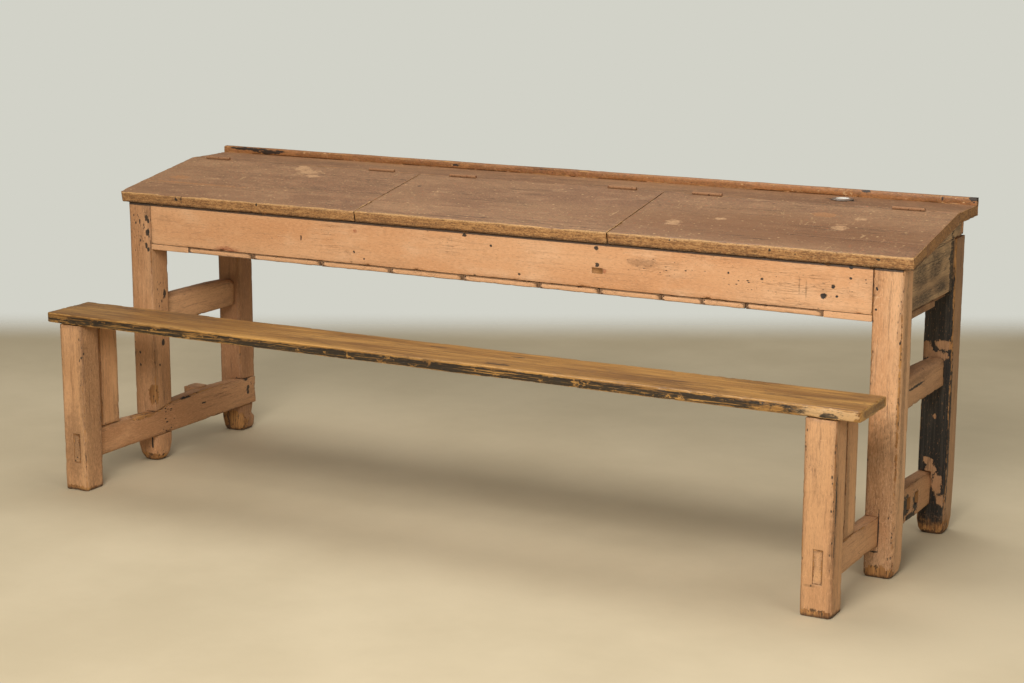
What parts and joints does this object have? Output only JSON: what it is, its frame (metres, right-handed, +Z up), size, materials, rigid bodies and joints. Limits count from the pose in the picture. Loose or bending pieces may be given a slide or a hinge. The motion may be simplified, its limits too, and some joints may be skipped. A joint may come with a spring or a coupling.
{
  "type": "school desk with bench",
  "caption": "Long wooden school desk with sloping hinged lids, ink shelf and open-jointed frame, its plank bench carried on the same floor stretchers.",
  "frame": {"origin": "on the floor, under the middle of the desk and bench together", "axes": "+X along the desk to the sitter's right, +Y from the bench towards the back of the desk, +Z up"},
  "size_m": [2.1332, 0.7772, 0.7948],
  "materials": {
    "pink_paint": "old tan-pink paint, worn to bare wood along the edges",
    "pink_and_black_paint": "tan-pink paint over black, mostly worn off",
    "mauve_paint": "mauve-brown paint rubbed thin, golden at the edges",
    "ochre_wood": "varnish worn to bare ochre wood, with traces of black",
    "stained_wood": "dark stained, matt",
    "bare_wood": "bare, aged",
    "iron": "painted over and rusty",
    "ceramic": "glazed white stoneware"
  },
  "bodies": {
    "frame": {"desk_leg_front_left": "pink_paint", "desk_leg_front_right": "pink_paint", "desk_leg_rear_left": "pink_paint", "desk_leg_rear_right": "pink_and_black_paint", "front_apron": "pink_paint", "rear_apron": "pink_paint", "back_board": "pink_paint", "end_panel_left": "stained_wood", "end_panel_right": "stained_wood", "divider_left": "bare_wood", "divider_right": "bare_wood", "floor_board_01": "bare_wood", "floor_board_02": "bare_wood", "floor_board_03": "bare_wood", "floor_board_04": "bare_wood", "floor_board_05": "bare_wood", "floor_board_06": "bare_wood", "floor_board_07": "bare_wood", "floor_board_08": "bare_wood", "floor_board_09": "bare_wood", "floor_board_10": "bare_wood", "floor_board_11": "bare_wood", "floor_board_12": "bare_wood", "ink_shelf": "mauve_paint", "pencil_lip": "mauve_paint", "hinge_fixed_left_a": "iron", "hinge_fixed_left_b": "iron", "hinge_fixed_middle_a": "iron", "hinge_fixed_middle_b": "iron", "hinge_fixed_right_a": "iron", "hinge_fixed_right_b": "iron", "mid_rail_left": "pink_paint", "mid_rail_right": "pink_paint", "lower_stretcher_left": "pink_paint", "lower_stretcher_right": "pink_paint", "foot_rail_stub": "pink_paint", "bench_seat": "ochre_wood", "bench_leg_left": "pink_paint", "bench_leg_right": "pink_paint", "bench_post_left": "pink_paint", "bench_post_right": "pink_paint"},
    "lid_left": {"lid_left_front_board": "mauve_paint", "lid_left_rear_board": "mauve_paint", "lid_left_batten_a": "bare_wood", "lid_left_batten_b": "bare_wood", "hinge_moving_left_a": "iron", "hinge_moving_left_b": "iron"},
    "lid_middle": {"lid_middle_front_board": "mauve_paint", "lid_middle_rear_board": "mauve_paint", "lid_middle_batten_a": "bare_wood", "lid_middle_batten_b": "bare_wood", "hinge_moving_middle_a": "iron", "hinge_moving_middle_b": "iron"},
    "lid_right": {"lid_right_front_board": "mauve_paint", "lid_right_rear_board": "mauve_paint", "lid_right_batten_a": "bare_wood", "lid_right_batten_b": "bare_wood", "hinge_moving_right_a": "iron", "hinge_moving_right_b": "iron"},
    "inkwell": {"inkwell": "ceramic"}
  },
  "joints": [
    {"name": "lid_left_hinge", "type": "hinge", "parent": "frame", "child": "lid_left", "pos_m": [-0.70485, 0.2294, 0.7794], "axis": [1, 0, 0], "range_deg": [-183, 0]},
    {"name": "lid_middle_hinge", "type": "hinge", "parent": "frame", "child": "lid_middle", "pos_m": [0, 0.2294, 0.7794], "axis": [1, 0, 0], "range_deg": [-183, 0]},
    {"name": "lid_right_hinge", "type": "hinge", "parent": "frame", "child": "lid_right", "pos_m": [0.70485, 0.2294, 0.7794], "axis": [1, 0, 0], "range_deg": [-148, 0]},
    {"name": "inkwell_lift", "type": "slide", "parent": "frame", "child": "inkwell", "axis": [0, 0, 1], "range_m": [0, 0.045]}
  ]
}
